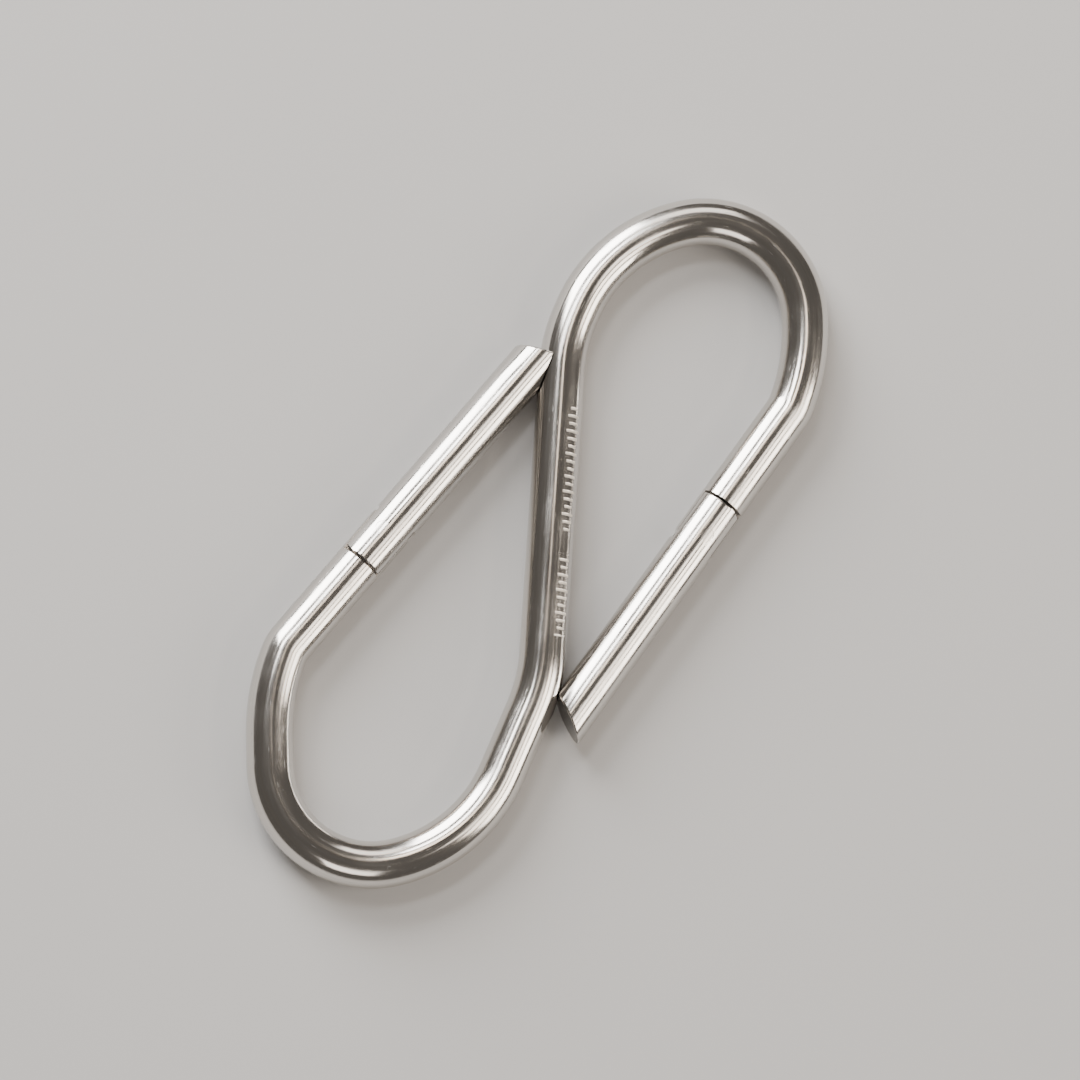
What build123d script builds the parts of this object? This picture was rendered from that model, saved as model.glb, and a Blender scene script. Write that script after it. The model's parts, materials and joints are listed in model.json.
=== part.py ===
"""A double-gate key clip: one round rod bent into an S, with a sprung gate hinged at each free end.

The clip lies flat with its length along X. Each gate is pinned to a flat tongue at the end of the
rod and swings outwards, away from the middle bar. A plunger in the gate's bore, pushed by a coil
spring, bears on the rounded end of the tongue and snaps the gate shut. The plunger's tail runs
through the coil and meets the bore's floor when the gate is fully open.
"""

import os
from math import cos, radians, sin, tan

from build123d import *

# ------------------------------------------------------- driving dimensions, mm and degrees

# The rod, and the bends that both loops share, in the order met from the middle bar to the leg
rod_diameter = 3.5
bar_angle = 33.7
shoulder_radius = 12.8
shoulder_angle = 19.3
crown_radius = 11.7
crown_angle = 53.1
nose_radius = 7.4
nose_angle = 102.3
flank_radius = 15.9
flank_angle = 22.1
kink_radius = 3.5

# The belt loop's straights, and how far its leg leans out from the X axis
belt_bar = 8.9
belt_crown_run = 5.15
belt_nose_run = 2.25
belt_leg = 7.7
belt_lean_angle = -2.4

# The key loop's straights and lean
key_bar = 12.5
key_crown_run = 0.5
key_nose_run = 0.5
key_leg = 8.5
key_lean_angle = 2.2

# The gates: length on the centre line from the leg's end, and the slant of the tip's cut
belt_gate_length = 21.05
belt_tip_angle = -24.0
key_gate_length = 20.1
key_tip_angle = 30.0
joint_gap = 0.15
joint_break = 0.06
tip_gap = 0.1
tip_break = 0.12

# The hinge: the pin's place behind the joint, and the tongue with the slot that takes it
pin_diameter = 1.0
pin_setback = 2.9
pin_offset = 0.4
pin_running_gap = 0.03
pin_sink = 0.03
tongue_thickness = 1.4
tongue_side_gap = 0.08
tongue_nose = 1.1
tongue_corner_radius = 0.8
slot_floor_gap = 0.35
opening_angle = 34.0

# The cam on the tongue's end, where each radian of opening pushes the plunger this far
cam_rise = 0.5
cam_points = 7

# The plunger, its tail and the bore that they slide in
bore_diameter = 2.2
plunger_side_gap = 0.05
plunger_head_length = 2.4
plunger_break = 0.1
plunger_face_gap = 0.02
tail_diameter = 1.1
tail_length = 6.2
tail_stop_gap = 0.02

# The spring
wire_diameter = 0.28
spring_side_gap = 0.16
spring_pitch = 1.25
wire_flats = 6
gap_points_per_turn = 24

# ------------------------------------------------------- sizes worked out from them

rod_radius = rod_diameter / 2
pin_radius = pin_diameter / 2
bore_radius = bore_diameter / 2
full_swing = radians(opening_angle)
plunger_travel = cam_rise * full_swing
plunger_face = pin_setback + tongue_nose + plunger_face_gap
plunger_shoulder = plunger_face + plunger_head_length
slot_floor = pin_setback + tongue_nose + slot_floor_gap
bore_floor = plunger_shoulder + tail_length + plunger_travel + tail_stop_gap
slot_width = tongue_thickness + 2 * tongue_side_gap
coil_radius = bore_radius - spring_side_gap - wire_diameter / 2
coil_length = bore_floor - plunger_shoulder - wire_diameter


# ------------------------------------------------------- the rod's centre line

def half_rod(heading, bar, crown_run, nose_run, leg, lean):
    """Draw from the middle of the bar round one loop, and return the leg as the last line."""
    bends_before_kink = shoulder_angle + crown_angle + nose_angle + flank_angle
    kink_turn = 180 + bar_angle - bends_before_kink - lean
    half_bar = PolarLine((0, 0), bar, heading)
    shoulder = JernArc(half_bar @ 1, half_bar % 1, shoulder_radius, -shoulder_angle)
    crown_straight = Line(shoulder @ 1, shoulder @ 1 + shoulder % 1 * crown_run)
    crown = JernArc(crown_straight @ 1, crown_straight % 1, crown_radius, -crown_angle)
    nose = JernArc(crown @ 1, crown % 1, nose_radius, -nose_angle)
    nose_straight = Line(nose @ 1, nose @ 1 + nose % 1 * nose_run)
    flank = JernArc(nose_straight @ 1, nose_straight % 1, flank_radius, -flank_angle)
    kink = JernArc(flank @ 1, flank % 1, kink_radius, -kink_turn)
    return Line(kink @ 1, kink @ 1 + kink % 1 * leg)


def draw_rod(plane):
    """The whole centre line on a plane, with the middle of the bar at the plane's origin."""
    with BuildLine(plane) as line:
        belt = half_rod(
            180 + bar_angle, belt_bar, belt_crown_run, belt_nose_run, belt_leg, belt_lean_angle
        )
        key = half_rod(bar_angle, key_bar, key_crown_run, key_nose_run, key_leg, key_lean_angle)
    return line, belt, key


def seat_plane(leg):
    """A gate's own frame: origin at the leg's end, X along the leg, Y outwards and Z up."""
    return Plane(origin=leg @ 1, x_dir=leg % 1, z_dir=(0, 0, 1))


def centred_on_outline():
    """The plane that puts the middle of the whole clip over the origin and its underside at z=0."""
    line, belt, key = draw_rod(Plane.XY)
    with BuildLine() as reach:
        add(line.line)
        add(Line(belt @ 1, belt @ 1 + belt % 1 * belt_gate_length))
        add(Line(key @ 1, key @ 1 + key % 1 * key_gate_length))
    middle = reach.line.bounding_box().center()
    return Plane((-middle.X, -middle.Y, rod_radius))


bar_plane = centred_on_outline()
rod_line, belt_leg_line, key_leg_line = draw_rod(bar_plane)
belt_seat = seat_plane(belt_leg_line)
key_seat = seat_plane(key_leg_line)


# ------------------------------------------------------- planes in a gate's own frame

def along(seat, distance):
    """The plane square to the gate's axis, a distance from the leg's end, facing the tip."""
    return Plane(seat.from_local_coords((distance, 0, 0)), seat.y_dir, seat.x_dir)


def on_pin(seat, height=0.0):
    """The flat plane whose origin is on the hinge pin's axis, at a height from the rod's middle."""
    return Plane(
        seat.from_local_coords((pin_setback, pin_offset, height)), seat.x_dir, seat.z_dir
    )


def cam_point(angle):
    """The cam's point where its surface faces along the angle, from the pin's centre."""
    reach = tongue_nose + cam_rise * angle
    return (
        reach * cos(angle) - cam_rise * sin(angle),
        reach * sin(angle) + cam_rise * cos(angle),
    )


# ------------------------------------------------------- the frame

def swept_rod(radius):
    """The bent rod as one solid of a given radius."""
    path = rod_line.wire()
    with BuildPart() as rod:
        with BuildSketch(Plane(origin=path @ 0, z_dir=path % 0)):
            Circle(radius)
        sweep(path=path)
    return rod.part


def make_tongue(seat):
    """The milled end of the rod: a flat that ends in a cam, rounded at its inner corner."""
    top = cam_point(full_swing)
    climb = (rod_diameter - top[1]) / cos(full_swing)
    with BuildPart() as tongue:
        with BuildSketch(on_pin(seat, -tongue_thickness / 2)):
            with BuildLine():
                cam = Spline(
                    [cam_point(full_swing * i / (cam_points - 1)) for i in range(cam_points)],
                    tangents=[(0, 1), (-sin(full_swing), cos(full_swing))],
                )
                back = PolarLine(cam @ 1, climb, 90 + opening_angle)
                inner_corner = (tongue_nose, -pin_offset - rod_radius)
                front = FilletPolyline(
                    cam @ 0,
                    inner_corner,
                    (-pin_setback, -pin_offset - rod_radius),
                    (-pin_setback, rod_diameter),
                    radius=tongue_corner_radius,
                )
                Line(front @ 1, back @ 1)
            make_face()
            Circle(pin_radius + pin_running_gap, mode=Mode.SUBTRACT)
        extrude(amount=tongue_thickness)
        with BuildSketch(along(seat, 0)):
            Circle(rod_radius)
        extrude(amount=slot_floor, mode=Mode.INTERSECT)
    return tongue.part


rod_body = swept_rod(rod_radius)
tip_clearance = swept_rod(rod_radius + tip_gap)
belt_tongue = make_tongue(belt_seat)
key_tongue = make_tongue(key_seat)

with BuildPart() as rod_frame:
    add(rod_body)
    chamfer(rod_frame.edges().filter_by(GeomType.CIRCLE).group_by(SortBy.RADIUS)[0], joint_break)
    add(belt_tongue)
    add(key_tongue)


# ------------------------------------------------------- the gates and what they hold

def make_gate(seat, length, slant):
    """A round gate, slotted and bored at the hinge, cut on a slant and coped to the bar."""
    heel_radius = pin_setback - joint_gap
    heel_start = (joint_gap, -rod_diameter)
    heel_turn_point = (joint_gap, pin_offset)
    overhang = rod_diameter * tan(radians(slant))
    with BuildPart() as gate:
        with BuildSketch(seat):
            with BuildLine():
                flat_heel = Line(heel_start, heel_turn_point)
                round_heel = JernArc(flat_heel @ 1, flat_heel % 1, heel_radius, -90)
                tip_cut = Line(
                    (length + overhang, rod_diameter),
                    (length - overhang, -rod_diameter),
                )
                Polyline(round_heel @ 1, (pin_setback, rod_diameter), tip_cut @ 0)
                Line(tip_cut @ 1, flat_heel @ 0)
            make_face()
        extrude(amount=rod_radius, both=True)
        with BuildSketch(along(seat, 0)):
            Circle(rod_radius)
        extrude(amount=length + rod_diameter, mode=Mode.INTERSECT)
        tip_edge = gate.edges().sort_by(Axis(seat.origin, seat.x_dir))[-1]
        chamfer(tip_edge, length=tip_break)
        with BuildSketch(seat.offset(-slot_width / 2)):
            with Locations((slot_floor / 2, 0)):
                Rectangle(slot_floor, 2 * rod_diameter)
        extrude(amount=slot_width, mode=Mode.SUBTRACT)
        with BuildSketch(along(seat, 0)):
            Circle(bore_radius)
        extrude(amount=bore_floor, mode=Mode.SUBTRACT)
        with BuildSketch(on_pin(seat)):
            Circle(pin_radius)
        extrude(amount=rod_radius, both=True, mode=Mode.SUBTRACT)
        add(tip_clearance, mode=Mode.SUBTRACT)
    return gate


def make_pin(seat):
    """The hinge pin, pressed through the gate's ears and dressed flush with the round rod."""
    with BuildPart() as pin:
        with BuildSketch(on_pin(seat)):
            Circle(pin_radius)
        extrude(amount=rod_radius, both=True)
        with BuildSketch(along(seat, 0)):
            Circle(rod_radius - pin_sink)
        extrude(amount=slot_floor, mode=Mode.INTERSECT)
    return pin


def make_plunger(seat):
    """A flat-faced head with a thin tail that guides the spring and stops the gate."""
    with BuildPart() as plunger:
        with BuildSketch(along(seat, plunger_face)):
            Circle(bore_radius - plunger_side_gap)
        extrude(amount=plunger_head_length)
        with BuildSketch(along(seat, plunger_shoulder)):
            Circle(tail_diameter / 2)
        extrude(amount=tail_length)
        rims = plunger.edges().filter_by(GeomType.CIRCLE).sort_by(Axis(seat.origin, seat.x_dir))
        chamfer([rims[0], rims[-1]], length=plunger_break)
    return plunger


def coil_line(seat):
    """The wire's centre line, from the plunger's shoulder to the bore's floor."""
    coil_start = along(seat, plunger_shoulder + wire_diameter / 2)
    return Helix(
        pitch=spring_pitch,
        height=coil_length,
        radius=coil_radius,
        center=coil_start.origin,
        direction=coil_start.z_dir,
    )


def least_coil_gap(seat):
    """The least gap between the wire's surface and itself, measured on points along the coil."""
    coil = coil_line(seat)
    steps = round(gap_points_per_turn * coil_length / spring_pitch)
    points = [coil @ (i / steps) for i in range(steps + 1)]
    half_turn = gap_points_per_turn // 2
    return min(
        (points[j] - points[i]).length - wire_diameter
        for i in range(steps + 1)
        for j in range(i + half_turn, steps + 1)
    )


def make_spring(seat):
    """The coil that pushes the plunger against the cam, as one unbroken wire with a few flats."""
    coil = coil_line(seat)
    with BuildPart() as spring:
        with BuildSketch(Plane(origin=coil @ 0, z_dir=coil % 0)):
            RegularPolygon(wire_diameter / 2, wire_flats)
        sweep(path=coil, is_frenet=True)
    return spring


nodes = {
    "rod_frame": rod_frame,
    "belt_gate": make_gate(belt_seat, belt_gate_length, belt_tip_angle),
    "belt_gate_pin": make_pin(belt_seat),
    "belt_gate_plunger": make_plunger(belt_seat),
    "belt_gate_spring": make_spring(belt_seat),
    "key_gate": make_gate(key_seat, key_gate_length, key_tip_angle),
    "key_gate_pin": make_pin(key_seat),
    "key_gate_plunger": make_plunger(key_seat),
    "key_gate_spring": make_spring(key_seat),
}

# ------------------------------------------------------- write the pieces

os.makedirs("parts", exist_ok=True)
for name, piece in nodes.items():
    piece.part.label = name
    export_step(piece.part, "parts/" + name + ".step")

box = Compound(children=[piece.part for piece in nodes.values()]).bounding_box()
print("whole clip:", box.size, "centre", box.center())
for name, piece in nodes.items():
    print(name, "volume", round(piece.part.volume, 2), "solids", len(piece.part.solids()))
for name, seat in (("belt", belt_seat), ("key", key_seat)):
    print(name, "pin at", on_pin(seat).origin, "gate runs along", seat.x_dir)
print("bar middle at", bar_plane.origin)
print("plunger travel", round(plunger_travel, 3), "mm, coil", round(coil_length, 2), "mm long")
print("least gap of the coil to itself", round(least_coil_gap(belt_seat), 3), "mm")
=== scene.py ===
# %% [markdown]
# # A double-gate key clip
#
# The clip is one round stainless rod, bent flat into an S. Each free end carries a short straight
# gate on a hidden hinge, and each gate springs shut against the middle bar. We load the packed
# model as a fixed frame first, because every piece we make has to sit on it.

import bmesh
import bpy
import json
from math import cos, pi, radians, sin, tan
from mathutils import Matrix, Vector


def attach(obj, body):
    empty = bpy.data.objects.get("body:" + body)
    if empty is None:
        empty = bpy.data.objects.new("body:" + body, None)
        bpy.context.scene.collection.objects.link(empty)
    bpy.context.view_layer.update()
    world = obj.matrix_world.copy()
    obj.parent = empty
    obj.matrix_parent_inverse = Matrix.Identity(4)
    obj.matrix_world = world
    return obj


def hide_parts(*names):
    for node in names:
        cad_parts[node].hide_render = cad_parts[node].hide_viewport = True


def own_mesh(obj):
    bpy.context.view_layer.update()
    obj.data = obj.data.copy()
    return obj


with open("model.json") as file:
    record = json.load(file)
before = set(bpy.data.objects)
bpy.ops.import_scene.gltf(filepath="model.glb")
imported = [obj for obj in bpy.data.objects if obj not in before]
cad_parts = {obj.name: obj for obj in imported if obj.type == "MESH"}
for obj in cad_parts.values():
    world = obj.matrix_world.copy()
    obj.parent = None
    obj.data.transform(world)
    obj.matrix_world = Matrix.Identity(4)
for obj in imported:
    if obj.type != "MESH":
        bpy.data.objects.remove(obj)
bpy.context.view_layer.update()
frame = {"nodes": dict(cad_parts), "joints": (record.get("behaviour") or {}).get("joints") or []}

# %% [markdown]
# The real sizes come next, in metres. They are the sizes a maker would write on the drawing: the
# rod, the bends in the order met from the middle of the bar outwards, and the straights between
# them. Both loops share their bends, and only the straights and the lean of the legs differ.

# %% Sizes of the rod
MM = 0.001
ROD_RADIUS = 1.75 * MM
BAR_ANGLE = radians(33.7)
SHOULDER = (12.8 * MM, radians(19.3))
CROWN = (11.7 * MM, radians(53.1))
NOSE = (7.4 * MM, radians(102.3))
FLANK = (15.9 * MM, radians(22.1))
KINK_RADIUS = 3.5 * MM
BELT_LOOP = {
    "bar": 8.9 * MM, "crown_run": 5.15 * MM, "nose_run": 2.25 * MM, "leg": 7.7 * MM,
    "lean": radians(-2.4),
}
KEY_LOOP = {
    "bar": 12.5 * MM, "crown_run": 0.5 * MM, "nose_run": 0.5 * MM, "leg": 8.5 * MM,
    "lean": radians(2.2),
}
JOINT_BREAK = 0.06 * MM
print("rod, mm across:", round(2 * ROD_RADIUS / MM, 2))

# %% [markdown]
# A bent rod is a list of moves: go straight this far, then turn this much at that radius. A small
# walker steps through the moves and keeps the place and the heading, like a bending machine does.
# Each move remembers where it starts, so that the mesh can be extruded or spun from there.

# %% The moves of the bending machine
def loop_moves(loop):
    """Straights and bends from the middle of the bar to the leg's end, turning clockwise."""
    turned = SHOULDER[1] + CROWN[1] + NOSE[1] + FLANK[1]
    kink = (KINK_RADIUS, pi + BAR_ANGLE - turned - loop["lean"])
    return [
        ("straight", loop["bar"]),
        ("bend", *SHOULDER),
        ("straight", loop["crown_run"]),
        ("bend", *CROWN),
        ("bend", *NOSE),
        ("straight", loop["nose_run"]),
        ("bend", *FLANK),
        ("bend", *kink),
        ("straight", loop["leg"]),
    ]


def walk(moves, place, heading, turn_sign):
    """Step through the moves; return each one's start, heading and turning centre, and the end."""
    steps = []
    for move in moves:
        along = Vector((cos(heading), sin(heading), 0))
        side = Vector((-sin(heading), cos(heading), 0)) * turn_sign
        if move[0] == "straight":
            steps.append({"kind": "straight", "vector": along * move[1], "length": move[1]})
            place = place + along * move[1]
        else:
            radius, angle = move[1], move[2]
            centre = place + side * radius
            steps.append({"kind": "bend", "centre": centre, "angle": angle * turn_sign,
                          "length": radius * angle})
            heading += angle * turn_sign
            side_after = Vector((-sin(heading), cos(heading), 0)) * turn_sign
            place = centre - side_after * radius
    return steps, place, heading


middle = Vector((0, 0, ROD_RADIUS))
_, belt_end, belt_heading = walk(loop_moves(BELT_LOOP), middle, pi + BAR_ANGLE, -1)
_, key_end, key_heading = walk(loop_moves(KEY_LOOP), middle, BAR_ANGLE, -1)
print("belt leg ends at, mm:", [round(value / MM, 2) for value in belt_end])
print("key leg ends at, mm:", [round(value / MM, 2) for value in key_end])

# %% [markdown]
# The rod starts as one circle at the end of the belt leg. We extrude it for each straight and spin
# it for each bend, all the way to the end of the key leg. Spin keeps every ring square to the
# rod, which a curve with a bevel would also do, but spin gives clean rings that we can count.

# %% Extrude and spin the rod
RING_POINTS = 72
BEND_STEP = radians(3)


def only(obj):
    """Make one object the only selected and active one."""
    bpy.ops.object.select_all(action="DESELECT")
    obj.select_set(True)
    bpy.context.view_layer.objects.active = obj


bpy.ops.object.select_all(action="DESELECT")
bpy.ops.mesh.primitive_circle_add(
    vertices=RING_POINTS, radius=ROD_RADIUS, fill_type="NOTHING", location=belt_end,
    rotation=(pi / 2, 0, belt_heading + pi / 2),
)
rod = bpy.context.active_object
rod.name = "bent_rod"
bpy.ops.object.transform_apply(location=True, rotation=True, scale=True)

steps_in, place_in, heading_in = walk(
    list(reversed(loop_moves(BELT_LOOP))), belt_end, belt_heading + pi, 1
)
steps_out, _, _ = walk(loop_moves(KEY_LOOP), place_in, heading_in, -1)
ring_lengths = [0.0]
bpy.ops.object.mode_set(mode="EDIT")
bpy.ops.mesh.select_all(action="SELECT")
for step in steps_in + steps_out:
    if step["kind"] == "straight":
        count = 1
        bpy.ops.mesh.extrude_region_move(TRANSFORM_OT_translate={"value": step["vector"]})
    else:
        count = max(2, round(abs(step["angle"]) / BEND_STEP))
        bpy.ops.mesh.spin(steps=count, angle=-step["angle"], center=step["centre"],
                          axis=(0, 0, 1), use_auto_merge=False)
    for _ in range(count):
        ring_lengths.append(ring_lengths[-1] + step["length"] / count)
bpy.ops.object.mode_set(mode="OBJECT")
print("rings:", len(ring_lengths), "vertices:", len(rod.data.vertices), "rod length, mm:",
      round(ring_lengths[-1] / MM, 1))
last_ring = rod.data.vertices[-RING_POINTS:]
last_middle = sum((vertex.co for vertex in last_ring), Vector()) / RING_POINTS
print("last ring's middle is off the key leg's end by, mm:",
      round((last_middle - key_end).length / MM, 4))

# %% [markdown]
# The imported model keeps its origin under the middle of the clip's outline, while our walker starts
# at the middle of the bar. The hinge pins tell us how far apart the two are: the record gives each
# pin's place, and we know where the pin sits from the end of its leg. So we shift everything by
# that difference, and nothing has to be fitted by eye.

# %% Seats: each gate's own frame at the end of its leg
PIN_SETBACK = 2.9 * MM
PIN_OFFSET = 0.4 * MM


def seat_at(end, heading):
    """A matrix with X along the leg, Y outwards and Z up, standing at the end of the leg."""
    turn = Matrix.Rotation(heading, 4, "Z")
    return Matrix.Translation(end) @ turn


pin_places = {joint["name"]: Vector(joint["pos_m"]) for joint in frame["joints"] if "pos_m" in joint}
belt_pin_drawn = seat_at(belt_end, belt_heading) @ Vector((PIN_SETBACK, PIN_OFFSET, 0))
key_pin_drawn = seat_at(key_end, key_heading) @ Vector((PIN_SETBACK, PIN_OFFSET, 0))
shift = pin_places["belt_gate_hinge"] - belt_pin_drawn
print("shift, mm:", [round(value / MM, 4) for value in shift])
print("key pin agrees within, mm:",
      round((pin_places["key_gate_hinge"] - key_pin_drawn - shift).length / MM, 5))
belt_seat = seat_at(belt_end + shift, belt_heading)
key_seat = seat_at(key_end + shift, key_heading)
bar_middle = middle + shift

only(rod)
bpy.ops.transform.translate(value=shift)
bpy.ops.object.transform_apply(location=True, rotation=True, scale=True)

# %% [markdown]
# Drawn rod has fine lines along its length, and they follow every bend. A texture on plain object
# coordinates can't bend, so we store a second place for each point: where it would be if the rod
# were pulled straight. Ring by ring we know the length so far, and the angle round the ring.

# %% Store the straightened place of every point
DRAWN = "drawn"


def store_drawn(obj, places):
    """Keep one straightened place per vertex, for the materials to read."""
    if DRAWN in obj.data.attributes:
        obj.data.attributes.remove(obj.data.attributes[DRAWN])
    layer = obj.data.attributes.new(DRAWN, "FLOAT_VECTOR", "POINT")
    layer.data.foreach_set("vector", [value for place in places for value in place])


def ring_of(number):
    """The points of one ring of the rod, and their middle."""
    first = number * RING_POINTS
    points = [vertex.co for vertex in rod.data.vertices[first:first + RING_POINTS]]
    return points, sum(points, Vector()) / RING_POINTS


rod_places = []
worst = 0.0
for ring, length in enumerate(ring_lengths):
    points, centre = ring_of(ring)
    _, behind = ring_of(max(ring - 1, 0))
    _, ahead = ring_of(min(ring + 1, len(ring_lengths) - 1))
    side = Vector((0, 0, 1)).cross((ahead - behind).normalized())
    for point in points:
        out = point - centre
        worst = max(worst, abs(out.length - ROD_RADIUS))
        rod_places.append((length, out.dot(side), out.z))
store_drawn(rod, rod_places)
print("ring points stray from the rod's radius by at most, mm:", round(worst / MM, 4))

# %% [markdown]
# The rod is still an open tube. Each end gets a flat face with its rim broken by a hair, as a
# turned end has. The rim is what makes the joint line readable between the leg and its gate.

# %% Close and break the leg ends
JUST_OVER = 1.01
only(rod)
bpy.ops.object.mode_set(mode="EDIT")
bpy.ops.mesh.select_mode(type="EDGE")
for seat in (belt_seat, key_seat):
    bpy.ops.mesh.select_all(action="DESELECT")
    mesh = bmesh.from_edit_mesh(rod.data)
    to_seat = seat.inverted()
    for edge in mesh.edges:
        reach = max((to_seat @ vertex.co).length for vertex in edge.verts)
        if edge.is_boundary and reach < JUST_OVER * ROD_RADIUS:
            edge.select_set(True)
    bmesh.update_edit_mesh(rod.data)
    bpy.ops.mesh.edge_face_add()
    bpy.ops.mesh.bevel(offset=JOINT_BREAK, segments=2, affect="EDGES")
bpy.ops.mesh.select_all(action="SELECT")
bpy.ops.mesh.normals_make_consistent(inside=False)
bpy.ops.object.mode_set(mode="OBJECT")
print("rod faces with both ends closed:", len(rod.data.polygons))

# %% [markdown]
# The hinge needs a few cutting tools: boxes and round bars placed in a gate's own frame. Each tool
# is a primitive that a Boolean modifier cuts or keeps, after which the tool is thrown away.

# %% Cutting tools in a gate's own frame
HEADROOM = 3 * MM
HAIR = 0.0001 * MM
WELD = 0.012 * MM


def centre_in(seat, local_centre):
    """A point of the gate's frame, and that frame's heading, in the clip's frame."""
    return seat @ Vector(local_centre), seat.to_euler().z


def box_between(seat, low, high):
    """A box from one corner to the other, square to the gate."""
    centre, heading = centre_in(seat, [(a + b) / 2 for a, b in zip(low, high)])
    bpy.ops.object.select_all(action="DESELECT")
    bpy.ops.mesh.primitive_cube_add(size=1, location=centre, rotation=(0, 0, heading),
                                    scale=[b - a for a, b in zip(low, high)])
    bpy.ops.object.transform_apply(location=True, rotation=True, scale=True)
    return bpy.context.active_object


def bar_along(seat, start, end, radius):
    """A round bar along the gate's axis, between two distances from the leg."""
    centre, heading = centre_in(seat, ((start + end) / 2, 0, 0))
    bpy.ops.object.select_all(action="DESELECT")
    bpy.ops.mesh.primitive_cylinder_add(vertices=RING_POINTS, radius=radius, depth=end - start,
                                        location=centre, rotation=(0, pi / 2, heading))
    bpy.ops.object.transform_apply(location=True, rotation=True, scale=True)
    return bpy.context.active_object


def bar_on_pin(seat, radius):
    """A round bar on the hinge pin's axis, taller than the rod."""
    centre, heading = centre_in(seat, (PIN_SETBACK, PIN_OFFSET, 0))
    bpy.ops.object.select_all(action="DESELECT")
    bpy.ops.mesh.primitive_cylinder_add(vertices=RING_POINTS, radius=radius, depth=2 * HEADROOM,
                                        location=centre, rotation=(0, 0, heading))
    bpy.ops.object.transform_apply(location=True, rotation=True, scale=True)
    return bpy.context.active_object


def cut(piece, tool, operation="DIFFERENCE", keep_tool=False):
    """Apply one Boolean with the tool, then throw the tool away."""
    only(piece)
    boolean = piece.modifiers.new("cut", "BOOLEAN")
    boolean.operation = operation
    boolean.solver = "EXACT"
    boolean.object = tool
    bpy.ops.object.modifier_apply(modifier=boolean.name)
    if not keep_tool:
        bpy.data.objects.remove(tool)


# %% [markdown]
# The rod's end is milled to a flat tongue that the gate turns on. Its inner front corner is round,
# so that it stays inside the gate, and its outer front is a slope that meets the gate's slot floor
# squarely when the gate stands fully open. Most of it hides in the slot.

# %% Tongues
TONGUE_HALF = 0.7 * MM
TONGUE_NOSE = 1.1 * MM
TONGUE_CORNER = 0.8 * MM
CAM_RISE = 0.5 * MM
FULL_SWING = radians(34)
TONGUE_ROOT = 0.4 * MM
PIN_RUNNING_RADIUS = 0.53 * MM
JUST_UNDER = 0.999


def make_tongue(name, seat):
    """A flat with one rounded and one sloping front corner, inside the rod's own outline."""
    front = PIN_SETBACK + TONGUE_NOSE
    tongue = box_between(seat, (-TONGUE_ROOT, -ROD_RADIUS, -TONGUE_HALF),
                         (front, ROD_RADIUS, TONGUE_HALF))
    tongue.name = name
    to_seat = seat.inverted()
    only(tongue)
    bpy.ops.object.mode_set(mode="EDIT")
    bpy.ops.mesh.select_mode(type="EDGE")
    bpy.ops.mesh.select_all(action="DESELECT")
    mesh = bmesh.from_edit_mesh(tongue.data)
    for edge in mesh.edges:
        ends = [to_seat @ vertex.co for vertex in edge.verts]
        if all(end.x > front / 2 and end.y < 0 for end in ends):
            edge.select_set(abs(ends[0].z - ends[1].z) > TONGUE_HALF)
    bmesh.update_edit_mesh(tongue.data)
    bpy.ops.mesh.bevel(offset=TONGUE_CORNER, segments=8, affect="EDGES")
    bpy.ops.mesh.select_all(action="SELECT")
    reach = TONGUE_NOSE + CAM_RISE * FULL_SWING
    slope = seat.to_3x3() @ Vector((cos(FULL_SWING), sin(FULL_SWING), 0))
    pin = seat @ Vector((PIN_SETBACK, PIN_OFFSET, 0))
    bpy.ops.mesh.bisect(plane_co=pin + slope * reach, plane_no=slope, use_fill=True,
                        clear_outer=True, threshold=HAIR)
    bpy.ops.object.mode_set(mode="OBJECT")
    cut(tongue, bar_along(seat, -2 * TONGUE_ROOT, 2 * front, JUST_UNDER * ROD_RADIUS), "INTERSECT")
    cut(tongue, bar_on_pin(seat, PIN_RUNNING_RADIUS))
    store_drawn(tongue, [to_seat @ vertex.co for vertex in tongue.data.vertices])
    print(name, "faces:", len(tongue.data.polygons))
    return tongue


belt_tongue = make_tongue("belt_tongue", belt_seat)
key_tongue = make_tongue("key_tongue", key_seat)

# %% [markdown]
# A gate is a straight piece of the same rod. Its blank is a round bar whose tip is cut on a slant
# and whose edges are broken. Long thin faces would shade badly where something is cut into them
# later, so we also cut a few plain rings round the bar, which hold its shading straight.

# %% Gate blanks
JOINT_GAP = 0.15 * MM
TIP_BREAK = 0.14 * MM
HEEL_BREAK = 0.05 * MM
SUPPORT_GAP = 0.3 * MM
SLOT_FLOOR = 4.35 * MM
GATES = {
    "belt_gate": {"seat": belt_seat, "length": 21.05 * MM, "slant": radians(-24)},
    "key_gate": {"seat": key_seat, "length": 20.1 * MM, "slant": radians(30)},
}


def tip_facing(seat, slant):
    """The way that a gate's slanted end looks."""
    return seat.to_3x3() @ Vector((cos(slant), -sin(slant), 0))


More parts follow.
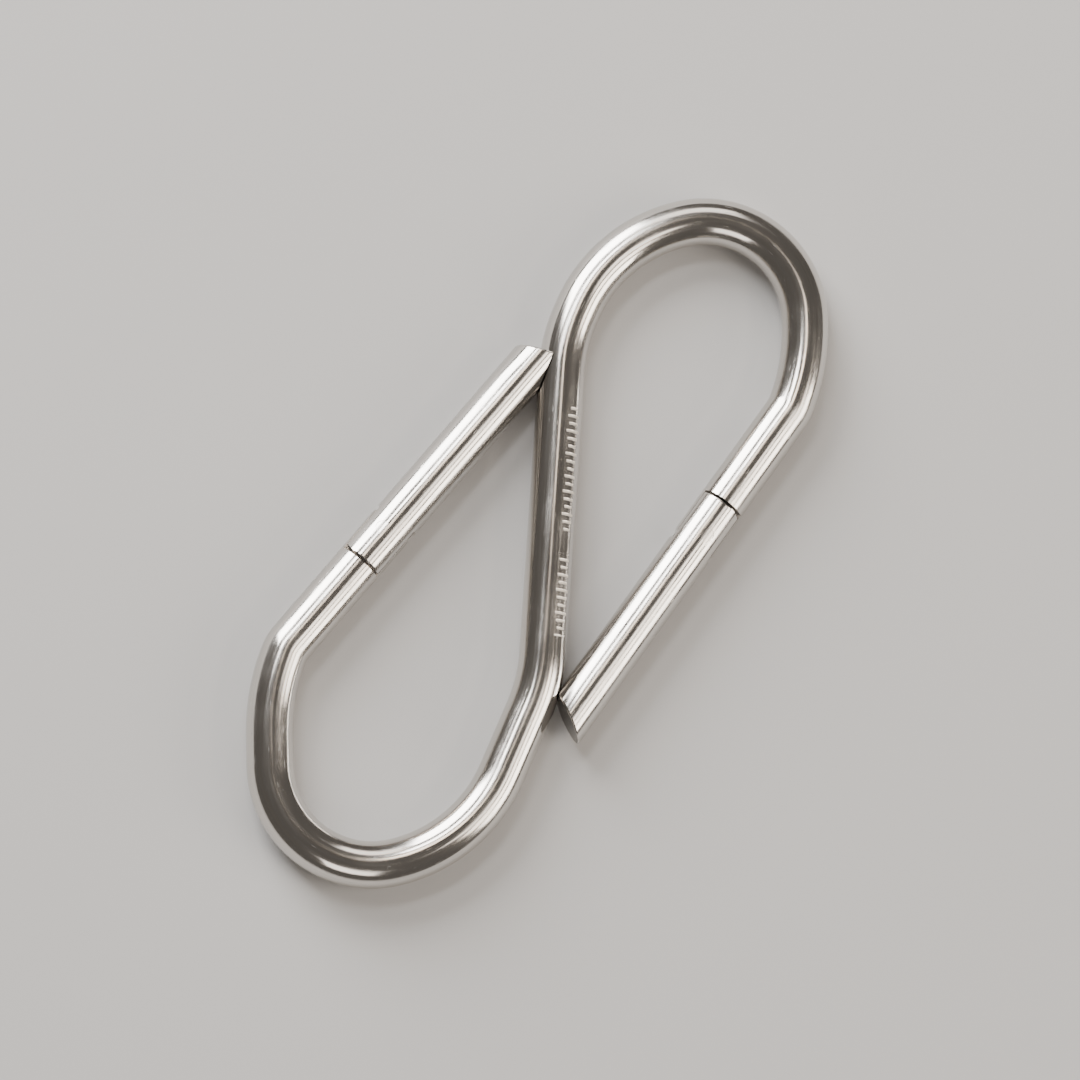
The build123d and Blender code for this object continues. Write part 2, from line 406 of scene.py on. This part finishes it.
def gate_blank(name, seat, length, slant):
    """A round bar with a slanted tip, both ends' edges broken, and its support rings."""
    gate = bar_along(seat, JOINT_GAP, length + 2 * ROD_RADIUS, ROD_RADIUS)
    gate.name = name + "_body"
    to_seat = seat.inverted()
    only(gate)
    bpy.ops.object.mode_set(mode="EDIT")
    bpy.ops.mesh.select_mode(type="EDGE")
    bpy.ops.mesh.select_all(action="SELECT")
    bpy.ops.mesh.bisect(plane_co=seat @ Vector((length, 0, 0)), plane_no=tip_facing(seat, slant),
                        use_fill=True, clear_outer=True, threshold=HAIR)
    bpy.ops.mesh.select_all(action="DESELECT")
    mesh = bmesh.from_edit_mesh(gate.data)
    tip = [face for face in mesh.faces if len(face.verts) > 4
           and (to_seat @ face.calc_center_median()).x > length / 2]
    for edge in tip[0].edges:
        edge.select_set(True)
    bmesh.update_edit_mesh(gate.data)
    bpy.ops.mesh.bevel(offset=TIP_BREAK, segments=3, affect="EDGES")
    bpy.ops.mesh.select_all(action="DESELECT")
    mesh = bmesh.from_edit_mesh(gate.data)
    for edge in mesh.edges:
        if all((to_seat @ vertex.co).x < JUST_OVER * JOINT_GAP for vertex in edge.verts):
            edge.select_set(True)
    bmesh.update_edit_mesh(gate.data)
    bpy.ops.mesh.bevel(offset=HEEL_BREAK, segments=2, affect="EDGES")
    for distance in (SUPPORT_GAP, SLOT_FLOOR + SUPPORT_GAP, length - 2 * ROD_RADIUS):
        bpy.ops.mesh.select_all(action="SELECT")
        bpy.ops.mesh.bisect(plane_co=seat @ Vector((distance, 0, 0)),
                            plane_no=seat.to_3x3() @ Vector((1, 0, 0)), threshold=HAIR)
    bpy.ops.object.mode_set(mode="OBJECT")
    print(gate.name, "blank's faces:", len(gate.data.polygons))
    return gate


# %% [markdown]
# Then the blank is machined. Its heel is rounded about the pin, so that it can swing past the leg,
# and it is slotted for the tongue and bored for the plunger and the spring. Last, its tip is coped:
# we cut it with a slightly fatter copy of the bent rod, which leaves the hollow where it rests
# against the bar. Booleans leave a few points almost on top of each other, and we weld those.

# %% Machine the gates
TIP_GAP = 0.1 * MM
SLOT_HALF = 0.78 * MM
BORE_RADIUS = 1.1 * MM
BORE_FLOOR = 12.94 * MM
PIN_RADIUS = 0.5 * MM

only(rod)
bpy.ops.object.duplicate()
fat_rod = bpy.context.active_object
bpy.ops.object.mode_set(mode="EDIT")
bpy.ops.mesh.select_all(action="SELECT")
bpy.ops.transform.shrink_fatten(value=TIP_GAP)
bpy.ops.object.mode_set(mode="OBJECT")


def make_gate(name, seat, length, slant):
    """One gate, modelled where it closes."""
    gate = gate_blank(name, seat, length, slant)
    heel_tool = box_between(seat, (-HEADROOM, PIN_OFFSET, -HEADROOM),
                            (PIN_SETBACK, HEADROOM, HEADROOM))
    cut(heel_tool, bar_on_pin(seat, PIN_SETBACK - JOINT_GAP))
    cut(gate, heel_tool)
    cut(gate, box_between(seat, (-HEADROOM, -HEADROOM, -SLOT_HALF),
                          (SLOT_FLOOR, HEADROOM, SLOT_HALF)))
    cut(gate, bar_along(seat, -HEADROOM, BORE_FLOOR, BORE_RADIUS))
    cut(gate, bar_on_pin(seat, PIN_RADIUS))
    cut(gate, fat_rod, keep_tool=True)
    only(gate)
    bpy.ops.object.mode_set(mode="EDIT")
    bpy.ops.mesh.select_all(action="SELECT")
    bpy.ops.mesh.remove_doubles(threshold=WELD)
    bpy.ops.object.mode_set(mode="OBJECT")
    to_seat = seat.inverted()
    store_drawn(gate, [to_seat @ vertex.co for vertex in gate.data.vertices])
    print(name, "faces:", len(gate.data.polygons))
    return gate


gates = {name: make_gate(name, **shape) for name, shape in GATES.items()}
bpy.data.objects.remove(fat_rod)

# %% [markdown]
# Behind each plunger sits a coil spring that snaps the gate shut. The imported spring is a stiff
# stand-in, so we wind a finer one: a small circle swept round the bore with a Screw modifier. In the
# clip, as the gate opens, the plunger backs into the bore and the spring gets that much shorter. The
# coil here is wound at its rest length.

# %% Springs
PLUNGER_SHOULDER = 6.42 * MM
WIRE_RADIUS = 0.14 * MM
WIRE_POINTS = 12
COIL_RADIUS = 0.8 * MM
COIL_TURNS = 5
COIL_STEPS = 32
COIL_EASE = 0.02 * MM


def make_spring(name, seat):
    """A coil from the plunger's shoulder to the bore's floor, modelled where it stands at rest."""
    start = PLUNGER_SHOULDER + WIRE_RADIUS + COIL_EASE
    length = BORE_FLOOR - WIRE_RADIUS - COIL_EASE - start
    bpy.ops.object.select_all(action="DESELECT")
    bpy.ops.mesh.primitive_circle_add(vertices=WIRE_POINTS, radius=WIRE_RADIUS, fill_type="NOTHING",
                                      location=(start, 0, COIL_RADIUS), rotation=(pi / 2, 0, 0))
    spring = bpy.context.active_object
    spring.name = name + "_coil"
    bpy.ops.object.transform_apply(location=True, rotation=True, scale=True)
    winding = spring.modifiers.new("winding", "SCREW")
    winding.axis = "X"
    winding.screw_offset = length / COIL_TURNS
    winding.iterations = COIL_TURNS
    winding.steps = winding.render_steps = COIL_STEPS
    bpy.ops.object.modifier_apply(modifier=winding.name)
    spring.matrix_world = seat
    bpy.ops.object.transform_apply(location=True, rotation=True, scale=True)
    bpy.ops.object.mode_set(mode="EDIT")
    bpy.ops.mesh.select_all(action="SELECT")
    bpy.ops.mesh.remove_doubles(threshold=HAIR)
    bpy.ops.mesh.fill_holes(sides=0)
    bpy.ops.mesh.normals_make_consistent(inside=False)
    bpy.ops.object.mode_set(mode="OBJECT")
    print(spring.name, "faces:", len(spring.data.polygons), "coil length, mm:", round(length / MM, 2))
    return spring


springs = {name: make_spring(name, shape["seat"]) for name, shape in GATES.items()}

# %% [markdown]
# Round pieces get smooth shading that stops at real edges. Then each piece says which body it rides
# on, and the imported node that it stands for is hidden. The pins and plungers of the packed model
# are right as they are, so they stay and only get better materials.

# %% Smooth, ride and replace
SHARP = radians(35)
only(rod)
for tongue in (belt_tongue, key_tongue):
    tongue.select_set(True)
bpy.ops.object.join()
for piece in (rod, *gates.values(), *springs.values()):
    only(piece)
    bpy.ops.object.shade_smooth_by_angle(angle=SHARP)
    weighted = piece.modifiers.new("weighted", "WEIGHTED_NORMAL")
    weighted.keep_sharp = True
    weighted.weight = 100
    bpy.ops.object.modifier_apply(modifier=weighted.name)
    print(piece.name, "smoothed, faces:", len(piece.data.polygons))

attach(rod, "frame")
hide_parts("rod_frame")
for name, gate in gates.items():
    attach(gate, name)
    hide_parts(name)

# %% [markdown]
# The springs ride on their gates too. Each one stands in for the imported spring, which is hidden,
# and gets a mesh of its own. The coil keeps its rest length as the hinge opens.

# %% Springs ride on their gates
for name, spring in springs.items():
    seat = GATES[name]["seat"]
    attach(spring, name)
    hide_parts(name + "_spring")
    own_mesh(spring)

# %% [markdown]
# The finish is polished stainless. It is never a perfect mirror: drawing the rod leaves lines along
# it, polishing leaves softer streaks over them, and pockets leave hairline scratches and a faint
# haze. All of it is worked out from noise that is stretched along the drawn direction.

# %% Start a material
def new_material(name):
    """A node material with one shader in it, and its tree and shader to work on."""
    material = bpy.data.materials.new(name)
    material.use_nodes = True
    tree = material.node_tree
    tree.nodes.clear()
    output = tree.nodes.new("ShaderNodeOutputMaterial")
    shader = tree.nodes.new("ShaderNodeBsdfPrincipled")
    tree.links.new(shader.outputs["BSDF"], output.inputs["Surface"])
    return material, tree, shader


def in_millimetres(tree, drawn):
    """Places in millimetres: straightened ones, or the object's own."""
    if drawn:
        source = tree.nodes.new("ShaderNodeAttribute")
        source.attribute_name = DRAWN
        place = source.outputs["Vector"]
    else:
        source = tree.nodes.new("ShaderNodeTexCoord")
        place = source.outputs["Object"]
    node = tree.nodes.new("ShaderNodeVectorMath")
    node.operation = "SCALE"
    node.inputs["Scale"].default_value = 1 / MM
    tree.links.new(place, node.inputs[0])
    return node.outputs["Vector"]


# %% [markdown]
# Two helpers read marks out of noise. The first stretches it: a small scale along the rod and a
# large one across give long fine lines. The second turns a range of grey into any other range.

# %% Stretched noise and ranges
def stretched_noise(tree, place, scale, detail=3.0, roughness=0.6, turn=0.0):
    """Noise on millimetre places, with a scale for each axis."""
    mapping = tree.nodes.new("ShaderNodeMapping")
    mapping.inputs["Scale"].default_value = scale
    mapping.inputs["Rotation"].default_value = (turn, 0, turn)
    noise = tree.nodes.new("ShaderNodeTexNoise")
    noise.inputs["Scale"].default_value = 1.0
    noise.inputs["Detail"].default_value = detail
    noise.inputs["Roughness"].default_value = roughness
    tree.links.new(place, mapping.inputs["Vector"])
    tree.links.new(mapping.outputs["Vector"], noise.inputs["Vector"])
    return noise.outputs["Fac"]


def ranged(tree, value, low_in, high_in, low_out, high_out):
    """Map a value from one range to another, held at both ends."""
    node = tree.nodes.new("ShaderNodeMapRange")
    tree.links.new(value, node.inputs["Value"])
    node.inputs["From Min"].default_value = low_in
    node.inputs["From Max"].default_value = high_in
    node.inputs["To Min"].default_value = low_out
    node.inputs["To Max"].default_value = high_out
    return node.outputs["Result"]


# %% [markdown]
# Two more put marks together. Sums of their greys make a height or a roughness, and a grey used as
# a factor mixes two colours. Both take sockets or plain values, so they can be chained.

# %% Sums and mixes
def maths(tree, operation, first, second=None, third=None):
    """One Math node whose inputs are sockets or numbers."""
    node = tree.nodes.new("ShaderNodeMath")
    node.operation = operation
    for socket, value in zip(node.inputs, (first, second, third)):
        if isinstance(value, bpy.types.NodeSocket):
            tree.links.new(value, socket)
        elif value is not None:
            socket.default_value = value
    return node.outputs["Value"]


def blended(tree, factor, first, second):
    """Mix two colours by a factor."""
    node = tree.nodes.new("ShaderNodeMix")
    node.data_type = "RGBA"
    tree.links.new(factor, node.inputs["Factor"])
    for socket, colour in zip((node.inputs["A"], node.inputs["B"]), (first, second)):
        if isinstance(colour, bpy.types.NodeSocket):
            tree.links.new(colour, socket)
        else:
            socket.default_value = (*colour, 1)
    return node.outputs["Result"]


# %% [markdown]
# A row of short engraved ticks runs along the upper side of the bar, in a long and a short group.
# The engraving is finer than any face we would want to model, so it is drawn in the material. On
# the straightened rod a tick is simply a place along it and an angle round it, so a few Math nodes
# can draw the whole row.

# %% Engraved ticks
BAR_MIDDLE_MARK = sum(step["length"] for step in steps_in)
TICK_ROW_TURN = radians(35)
TICK_PITCH = 0.57 * MM
TICK_HALF_LENGTHS = (0.3 * MM, 0.6 * MM)
TICK_END_SOFTNESS = 0.04 * MM
TICK_HALF_SHARE = (0.12, 0.20)
TICK_GROUPS = ((0.0, 9.7 * MM), (-7.7 * MM, -1.5 * MM))
SHUFFLE = 0.382
print("ticks in each group:", [round((high - low) / TICK_PITCH) for low, high in TICK_GROUPS])


def engraved_ticks(tree, place):
    """One on the engraved ticks and zero elsewhere; some ticks are longer than others."""
    def calc(operation, *values):
        return maths(tree, operation, *values)

    apart = tree.nodes.new("ShaderNodeSeparateXYZ")
    tree.links.new(place, apart.inputs["Vector"])
    along = calc("SUBTRACT", apart.outputs["X"], BAR_MIDDLE_MARK / MM)
    angle = calc("ARCTAN2", apart.outputs["Y"], apart.outputs["Z"])
    radius = ROD_RADIUS / MM
    across = calc("ABSOLUTE", calc("MULTIPLY_ADD", angle, radius, TICK_ROW_TURN * radius))
    steps = calc("DIVIDE", along, TICK_PITCH / MM)
    off_tick = calc("ABSOLUTE", calc("SUBTRACT", calc("FRACT", steps), 0.5))
    mixed = calc("FRACT", calc("MULTIPLY", calc("FLOOR", steps), SHUFFLE))
    reach = ranged(tree, mixed, 0.0, 1.0, *[length / MM for length in TICK_HALF_LENGTHS])
    soft = TICK_END_SOFTNESS / MM
    inside = ranged(tree, calc("SUBTRACT", across, reach), -soft, soft, 1.0, 0.0)
    tick = calc("MULTIPLY", inside, ranged(tree, off_tick, *TICK_HALF_SHARE, 1.0, 0.0))
    groups = [
        calc("MULTIPLY", calc("GREATER_THAN", along, low / MM), calc("LESS_THAN", along, high / MM))
        for low, high in TICK_GROUPS
    ]
    return calc("MULTIPLY", tick, calc("ADD", *groups))


# %% [markdown]
# Now the steel itself. One function makes every finish, and only its colours, its roughness and
# its place on the part change. Each mark has a fineness, given per millimetre along and across the
# rod, a height that the bump reads, and a little roughness of its own.

# %% Polished stainless
WARM_STEEL = (0.71, 0.675, 0.63)
COOL_STEEL = (0.62, 0.60, 0.575)
FROSTED = (0.80, 0.75, 0.67)
STREAKS_PER_MM = (0.03, 1.6, 1.6)
LINES_PER_MM = (0.10, 7.0, 7.0)
HAZE_PER_MM = (0.22, 0.5, 0.5)
SCRATCHES_PER_MM = (0.8, 14.0, 14.0)
SCRATCH_SLANT = 0.35
TONE_BAND = (0.3, 0.7)
GLOSS_BAND = (0.35, 0.65)
HAZE_BAND = (0.48, 0.72)
SCRATCH_BAND = (0.71, 0.76)
HEIGHTS = {"streaks": 0.22, "lines": 0.16, "scratch": 0.10, "engraved": 0.8}
HAZE_ROUGHNESS = 0.09
SCRATCH_ROUGHNESS = 0.12
ENGRAVED_ROUGHNESS = 0.34
BUMP_STRENGTH = 0.5
BUMP_DEPTH = 0.03 * MM


def polished_stainless(name, light=WARM_STEEL, dark=COOL_STEEL, rough=(0.10, 0.19), drawn=True,
                       ticks=False):
    """Drawn and polished steel: streaks, fine lines, hairline scratches and a faint haze."""
    material, tree, shader = new_material(name)
    place = in_millimetres(tree, drawn)
    streaks = stretched_noise(tree, place, STREAKS_PER_MM, detail=2.0)
    lines = stretched_noise(tree, place, LINES_PER_MM, detail=4.0)
    haze = stretched_noise(tree, place, HAZE_PER_MM, detail=5.0)
    scratches = stretched_noise(tree, place, SCRATCHES_PER_MM, detail=1.0, turn=SCRATCH_SLANT)
    scratch = ranged(tree, scratches, *SCRATCH_BAND, 0.0, 1.0)

    def scaled(value, factor):
        return maths(tree, "MULTIPLY", value, factor)

    tone = blended(tree, ranged(tree, lines, *TONE_BAND, 0.0, 1.0), light, dark)
    gloss = maths(tree, "ADD", ranged(tree, lines, *GLOSS_BAND, *rough),
                  ranged(tree, haze, *HAZE_BAND, 0.0, HAZE_ROUGHNESS))
    gloss = maths(tree, "ADD", gloss, scaled(scratch, SCRATCH_ROUGHNESS))
    height = maths(tree, "ADD", scaled(streaks, HEIGHTS["streaks"]), scaled(lines, HEIGHTS["lines"]))
    height = maths(tree, "SUBTRACT", height, scaled(scratch, HEIGHTS["scratch"]))
    if ticks:
        engraved = engraved_ticks(tree, place)
        tone = blended(tree, engraved, tone, FROSTED)
        gloss = maths(tree, "ADD", gloss, scaled(engraved, ENGRAVED_ROUGHNESS))
        height = maths(tree, "SUBTRACT", height, scaled(engraved, HEIGHTS["engraved"]))
    shader.inputs["Metallic"].default_value = 1.0
    tree.links.new(tone, shader.inputs["Base Color"])
    tree.links.new(gloss, shader.inputs["Roughness"])
    bump = tree.nodes.new("ShaderNodeBump")
    bump.inputs["Strength"].default_value = BUMP_STRENGTH
    bump.inputs["Distance"].default_value = BUMP_DEPTH
    tree.links.new(height, bump.inputs["Height"])
    tree.links.new(bump.outputs["Normal"], shader.inputs["Normal"])
    return material


finishes = {
    "rod": polished_stainless("rod_stainless", ticks=True),
    "gate": polished_stainless("gate_stainless", light=(0.73, 0.70, 0.66)),
    # painted shade: a darker, greyer base colour for the slanted gate tips, standing in for the
    # shadowed floor that they reflect
    "painted_shade_tip": polished_stainless("tip_painted_shade_steel", light=(0.36, 0.35, 0.335),
                                  dark=(0.28, 0.27, 0.26), rough=(0.26, 0.36)),
    "pin": polished_stainless("pin_bright_steel", light=(0.68, 0.65, 0.61), rough=(0.12, 0.22),
                              drawn=False),
    "plunger": polished_stainless("plunger_grey_steel", light=(0.5, 0.49, 0.47),
                                  rough=(0.25, 0.4), drawn=False),
    "spring": polished_stainless("spring_wire_steel", light=(0.45, 0.45, 0.46),
                                 rough=(0.25, 0.4), drawn=False),
}
print("finishes:", ", ".join(material.name for material in finishes.values()))

# %% [markdown]
# Every piece gets its finish. The slanted ends of the gates face the shadowed floor and look dark, so
# they take a darker, greyer base colour of their own, which is painted shade, and a rougher surface.

# %% Dress the pieces
FLAT_WITHIN = radians(5)


def dress(obj, material):
    """Give an object one material in all its slots."""
    if not obj.data.materials:
        obj.data.materials.append(material)
    for index in range(len(obj.data.materials)):
        obj.data.materials[index] = material


dress(rod, finishes["rod"])
for name, gate in gates.items():
    dress(gate, finishes["gate"])
    # the slanted tip faces get the painted shade material
    gate.data.materials.append(finishes["painted_shade_tip"])
    facing = tip_facing(GATES[name]["seat"], GATES[name]["slant"])
    painted_shade_faces = [face for face in gate.data.polygons if face.normal.dot(facing) > cos(FLAT_WITHIN)]
    for face in painted_shade_faces:
        face.material_index = 1
    dress(springs[name], finishes["spring"])
    for part in ("pin", "plunger"):
        dress(frame["nodes"][name + "_" + part], finishes[part])
    print(name, "faces on the cut end:", len(painted_shade_faces))

# %% [markdown]
# The clip was photographed from above and a little from the belt loop's side, lying so that its
# gates run up to the right. We build that view from those two angles and the same distance, so the
# perspective is the photograph's, but the picture is framed round the clip alone.

# %% Camera
VIEW_TILT = radians(12)
VIEW_ROLL = radians(51.84)
VIEW_DISTANCE = 552 * MM
FRAME_WIDTH = 80 * MM
NEAREST_SEEN = 10 * MM

along_view = Vector((cos(VIEW_TILT), 0, sin(VIEW_TILT)))
across_view = Vector((0, 1, 0))
towards_camera = Vector((-sin(VIEW_TILT), 0, cos(VIEW_TILT)))
right = along_view * cos(VIEW_ROLL) - across_view * sin(VIEW_ROLL)
up = along_view * sin(VIEW_ROLL) + across_view * cos(VIEW_ROLL)
camera_data = bpy.data.cameras.new("camera")
camera_data.lens = camera_data.sensor_width * VIEW_DISTANCE / FRAME_WIDTH
target = Vector((0, 0, ROD_RADIUS))
camera = bpy.data.objects.new("camera", camera_data)
camera.matrix_world = Matrix.Translation(target + towards_camera * VIEW_DISTANCE) @ Matrix(
    (right, up, towards_camera)
).transposed().to_4x4()
bpy.context.scene.collection.objects.link(camera)
bpy.context.scene.camera = camera
camera_data.clip_start = NEAREST_SEEN
print("lens, mm:", round(camera_data.lens, 1))

# %% [markdown]
# A plain pale card lies under the clip. Its tone drifts by a few per cent over some centimetres, as
# real card does, and it is almost matt, so it only throws soft light back up at the metal.

# %% Floor
PALE_FLOOR = (0.56, 0.555, 0.55)
FLOOR_DRIFT = 0.96
FLOOR_DRIFT_PER_MM = (0.02, 0.02, 0.02)
FLOOR_ROUGHNESS = 0.85
FLOOR_SIZE = 3

bpy.ops.object.select_all(action="DESELECT")
bpy.ops.mesh.primitive_plane_add(size=FLOOR_SIZE, location=(0, 0, 0))
floor = bpy.context.active_object
floor.name = "floor"
floor_material, floor_tree, floor_shader = new_material("floor_card")
drift = stretched_noise(floor_tree, in_millimetres(floor_tree, False), FLOOR_DRIFT_PER_MM)
floor_tone = blended(floor_tree, drift, PALE_FLOOR, [FLOOR_DRIFT * value for value in PALE_FLOOR])
floor_tree.links.new(floor_tone, floor_shader.inputs["Base Color"])
floor_shader.inputs["Roughness"].default_value = FLOOR_ROUGHNESS
dress(floor, floor_material)
print("floor, m across:", FLOOR_SIZE)

# %% [markdown]
# Polished metal shows its surroundings more than itself, so the lights are part of the finish. Two
# bright softboxes stand on one side of the gates and draw their cool bands. A warm glow hangs
# nearly overhead, three weaker warm lights face the softboxes, and the gaps between them all draw
# the thin dark lines. Two dim glows off the clip's ends keep the noses alive, and the rest of the
# room is dim, which keeps the middle bar dark.

# %% Lights
LIGHT_REACH = 600 * MM
LIGHT_LEVEL = 1.8


def softbox(name, azimuth, elevations, half_width, brightness, colour):
    """An area light facing the clip; angles are in degrees, brightness is what its face shows."""
    low, high = elevations
    turn, lift = radians(azimuth), radians((low + high) / 2)
    light = bpy.data.lights.new(name, "AREA")
    light.shape = "RECTANGLE"
    light.size = 2 * LIGHT_REACH * cos(lift) * tan(radians(half_width))
    light.size_y = 2 * LIGHT_REACH * tan(radians((high - low) / 2))
    light.energy = LIGHT_LEVEL * brightness * pi * light.size * light.size_y
    light.color = colour
    holder = bpy.data.objects.new(name, light)
    direction = Vector((cos(turn) * cos(lift), sin(turn) * cos(lift), sin(lift)))
    holder.location = bar_middle + direction * LIGHT_REACH
    holder.rotation_euler = direction.to_track_quat("Z", "Y").to_euler()
    bpy.context.scene.collection.objects.link(holder)
    print(name, "size, m:", round(light.size, 3), round(light.size_y, 3),
          "watts:", round(light.energy, 2))


softbox("main_softbox", 70, (10, 44), 18, 9.0, (1.0, 0.985, 0.97))
softbox("upper_strip", 66, (57, 65), 24, 8.0, (1.0, 0.985, 0.97))
softbox("ceiling_glow", 36, (69, 79), 12, 3.0, (1.0, 0.86, 0.72))
softbox("fill_softbox", 290, (14, 34), 17, 4.2, (1.0, 0.91, 0.81))
softbox("fill_strip", 290, (41, 52), 20, 3.6, (1.0, 0.89, 0.77))
softbox("fill_upper", 290, (58, 68), 20, 2.2, (1.0, 0.91, 0.82))
softbox("end_glow_key", 30, (28, 50), 16, 1.5, (1.0, 0.93, 0.86))
softbox("end_glow_belt", 210, (28, 50), 16, 1.5, (1.0, 0.93, 0.86))

ROOM_COLOUR = (0.36, 0.33, 0.30, 1)
ROOM_LEVEL = 0.34
world = bpy.data.worlds.new("dim_room")
world.use_nodes = True
background = world.node_tree.nodes["Background"]
background.inputs["Color"].default_value = ROOM_COLOUR
background.inputs["Strength"].default_value = ROOM_LEVEL
bpy.context.scene.world = world
